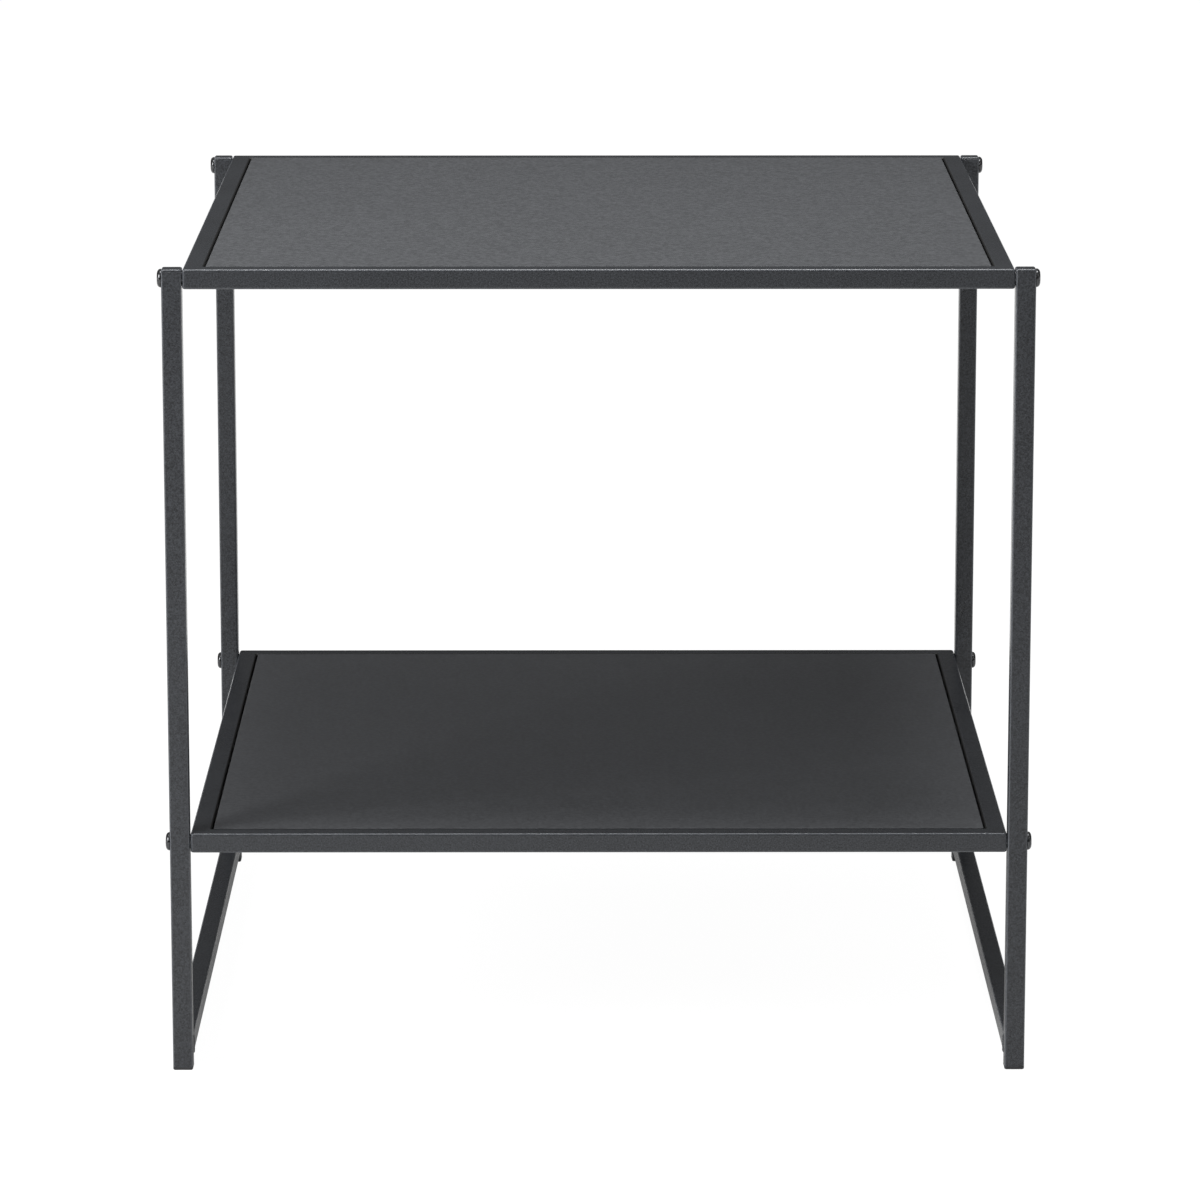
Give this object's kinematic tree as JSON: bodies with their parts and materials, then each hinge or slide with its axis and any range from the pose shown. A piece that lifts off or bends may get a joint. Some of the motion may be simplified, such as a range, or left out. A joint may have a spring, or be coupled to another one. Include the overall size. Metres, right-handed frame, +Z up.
{
  "type": "two-tier side table",
  "caption": "Square open-frame side table of thin square steel tube: U-shaped side frames bolted to an upper and a lower shelf frame, each with an inset flat board.",
  "frame": {"origin": "on the floor, under the middle of the table", "axes": "+X to the right along the front rails, +Y from the front to the back, +Z up"},
  "size_m": [0.5646, 0.559, 0.531],
  "materials": {
    "frame_steel": "charcoal powder coat, satin, with a fine grain",
    "board": "fibreboard with a smooth satin charcoal laminate",
    "foot_plastic": "moulded, matt black",
    "black_bolt": "black-plated steel, semi-gloss",
    "zinc_hardware": "bright zinc plate"
  },
  "bodies": {
    "root": {"left_front_leg": "frame_steel", "left_front_leg_cap": "frame_steel", "left_front_foot": "foot_plastic", "left_rear_leg": "frame_steel", "left_rear_leg_cap": "frame_steel", "left_rear_foot": "foot_plastic", "left_low_bar": "frame_steel", "right_front_leg": "frame_steel", "right_front_leg_cap": "frame_steel", "right_front_foot": "foot_plastic", "right_rear_leg": "frame_steel", "right_rear_leg_cap": "frame_steel", "right_rear_foot": "foot_plastic", "right_low_bar": "frame_steel", "top_front_rail": "frame_steel", "top_rear_rail": "frame_steel", "top_left_rail": "frame_steel", "top_right_rail": "frame_steel", "top_board": "board", "top_tab_left_front": "frame_steel", "top_board_screw_left_front": "zinc_hardware", "top_rivet_nut_left_front": "zinc_hardware", "top_bolt_left_front": "black_bolt", "top_tab_right_front": "frame_steel", "top_board_screw_right_front": "zinc_hardware", "top_rivet_nut_right_front": "zinc_hardware", "top_bolt_right_front": "black_bolt", "top_tab_right_rear": "frame_steel", "top_board_screw_right_rear": "zinc_hardware", "top_rivet_nut_right_rear": "zinc_hardware", "top_bolt_right_rear": "black_bolt", "top_tab_left_rear": "frame_steel", "top_board_screw_left_rear": "zinc_hardware", "top_rivet_nut_left_rear": "zinc_hardware", "top_bolt_left_rear": "black_bolt", "lower_front_rail": "frame_steel", "lower_rear_rail": "frame_steel", "lower_left_rail": "frame_steel", "lower_right_rail": "frame_steel", "lower_board": "board", "lower_tab_left_front": "frame_steel", "lower_board_screw_left_front": "zinc_hardware", "lower_rivet_nut_left_front": "zinc_hardware", "lower_bolt_left_front": "black_bolt", "lower_tab_right_front": "frame_steel", "lower_board_screw_right_front": "zinc_hardware", "lower_rivet_nut_right_front": "zinc_hardware", "lower_bolt_right_front": "black_bolt", "lower_tab_right_rear": "frame_steel", "lower_board_screw_right_rear": "zinc_hardware", "lower_rivet_nut_right_rear": "zinc_hardware", "lower_bolt_right_rear": "black_bolt", "lower_tab_left_rear": "frame_steel", "lower_board_screw_left_rear": "zinc_hardware", "lower_rivet_nut_left_rear": "zinc_hardware", "lower_bolt_left_rear": "black_bolt"}
  },
  "joints": []
}
